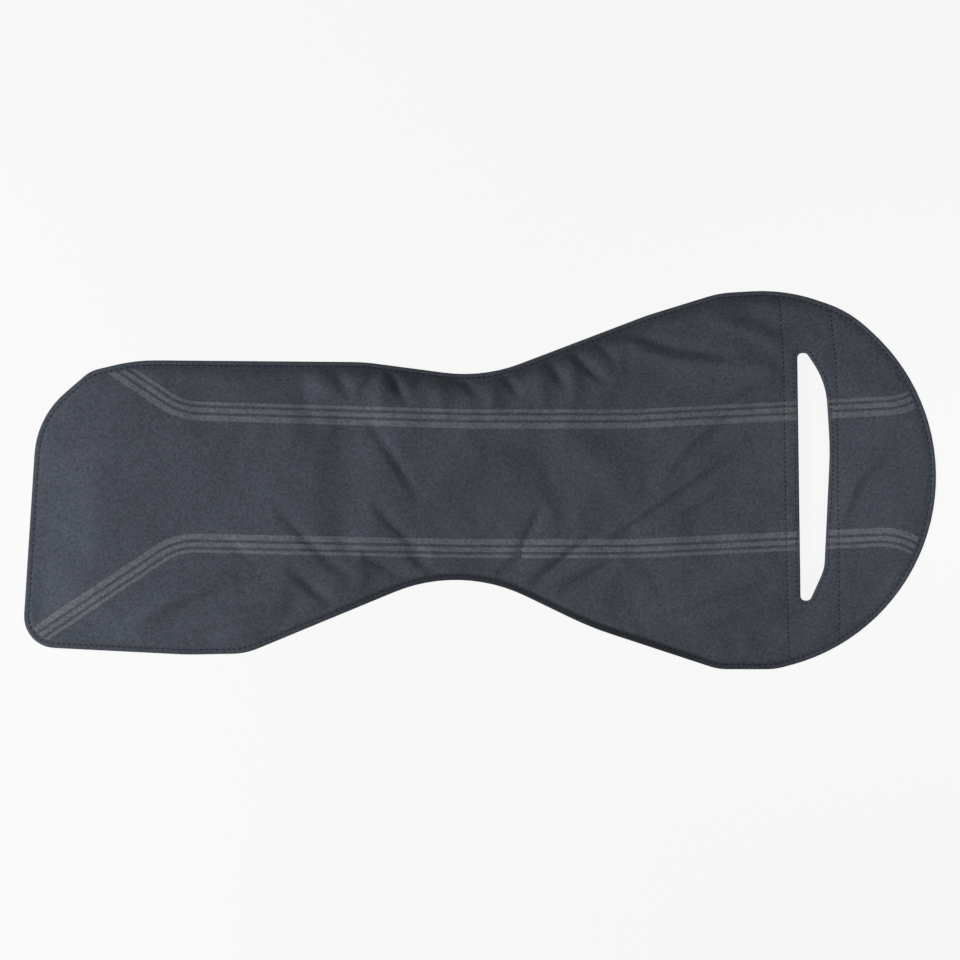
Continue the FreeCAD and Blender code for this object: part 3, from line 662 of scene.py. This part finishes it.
ply_colour = thread.node_tree.nodes.new("ShaderNodeMix")
ply_colour.data_type = "RGBA"
ply_colour.inputs["A"].default_value = (*(0.7 * part for part in THREAD_COLOUR), 1)
ply_colour.inputs["B"].default_value = (*(1.3 * part for part in THREAD_COLOUR), 1)
link(thread.node_tree, ply, "Fac", ply_colour, "Factor")
link(thread.node_tree, ply_colour, "Result", thread_shader, "Base Color")
for name, lines, closed, half_length in STITCH_ROWS:
    bm = bmesh.new()
    for line in lines:
        for number, point in enumerate(line):
            ahead = line[(number + 1) % len(line)] if closed else line[min(number + 1, len(line) - 1)]
            behind = line[number - 1] if closed else line[max(number - 1, 0)]
            place, up = onto_cloth(point, THREAD_LIFT)
            along = Vector((*(ahead - behind), 0))
            along = (along - up * along.dot(up)).normalized()
            turn = Matrix((along, up.cross(along), up)).transposed().to_4x4()
            shape = Matrix.Diagonal((half_length, THREAD, THREAD, 1))
            bmesh.ops.create_uvsphere(
                bm, u_segments=6, v_segments=4, radius=1,
                matrix=Matrix.Translation(place) @ turn @ shape @ Matrix.Rotation(math.pi / 2, 4, "Y"),
            )
    for face in bm.faces:
        face.smooth = True
    mesh = bpy.data.meshes.new(name)
    bm.to_mesh(mesh)
    bm.free()
    mesh.materials.append(thread)
    seam = bpy.data.objects.new(name, mesh)
    bpy.context.collection.objects.link(seam)
    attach(seam, "root")

# Floor and light
# A plain pale ground that keeps a little of the cover's shadow, a lamp to the left, a small weak one over the
# round end, and an even sky. Each lamp: its name, place, aim, size and energy.
PALE = 0.96
WHITE_SHARE = 0.92
GROUND_SIZE = 30
SKY_STRENGTH = 0.15
LAMPS = [
    ("key", (-0.92, -0.25, 0.8), (0, 0, 0), 0.5, 12.2),
    ("fill", (0.33, 0, 0.2), (0.31, 0, 0), 0.2, 0.22),
]
bpy.ops.mesh.primitive_plane_add(size=GROUND_SIZE)
floor = bpy.context.object
floor.name = "floor"
ground = bpy.data.materials.new("pale ground")
ground.use_nodes = True
ground_tree = ground.node_tree
ground_shader = ground_tree.nodes["Principled BSDF"]
ground_shader.inputs["Base Color"].default_value = (PALE, PALE, PALE, 1)
ground_shader.inputs["Roughness"].default_value = 0.9
ground_shader.inputs["Specular IOR Level"].default_value = 0
rays = ground_tree.nodes.new("ShaderNodeLightPath")
seen = math_node(ground_tree, "MAXIMUM", rays.outputs["Is Camera Ray"], rays.outputs["Is Glossy Ray"])
seen = math_node(ground_tree, "MAXIMUM", seen, rays.outputs["Is Transmission Ray"])
glow = ground_tree.nodes.new("ShaderNodeEmission")
glow.inputs["Color"].default_value = (PALE, PALE, PALE, 1)
blend = ground_tree.nodes.new("ShaderNodeMixShader")
ground_tree.links.new(math_node(ground_tree, "MULTIPLY", seen, WHITE_SHARE), blend.inputs["Fac"])
ground_tree.links.new(ground_shader.outputs["BSDF"], blend.inputs[1])
ground_tree.links.new(glow.outputs["Emission"], blend.inputs[2])
link(ground_tree, blend, "Shader", ground_tree.nodes["Material Output"], "Surface")
floor.data.materials.append(ground)
for name, place, aim, size, energy in LAMPS:
    lamp = bpy.data.lights.new(name, "AREA")
    lamp.shape = "SQUARE"
    lamp.size = size
    lamp.energy = energy
    light = bpy.data.objects.new(name, lamp)
    light.location = place
    light.rotation_euler = (Vector(aim) - light.location).to_track_quat("-Z", "Y").to_euler()
    bpy.context.collection.objects.link(light)
sky = bpy.data.worlds.new("sky")
sky.use_nodes = True
sky.node_tree.nodes["Background"].inputs["Color"].default_value = (1, 1, 1, 1)
sky.node_tree.nodes["Background"].inputs["Strength"].default_value = SKY_STRENGTH
bpy.context.scene.world = sky

# Camera: straight above, far enough away that the cover looks flat.
VIEW_WIDTH = 610.5 * MM
lens = bpy.data.cameras.new("camera")
lens.lens = 300
lens.sensor_width = 36
camera = bpy.data.objects.new("camera", lens)
camera.location = (0, 0, VIEW_WIDTH / lens.sensor_width * lens.lens)
bpy.context.collection.objects.link(camera)
bpy.context.scene.camera = camera
bpy.context.scene.view_settings.view_transform = "Standard"
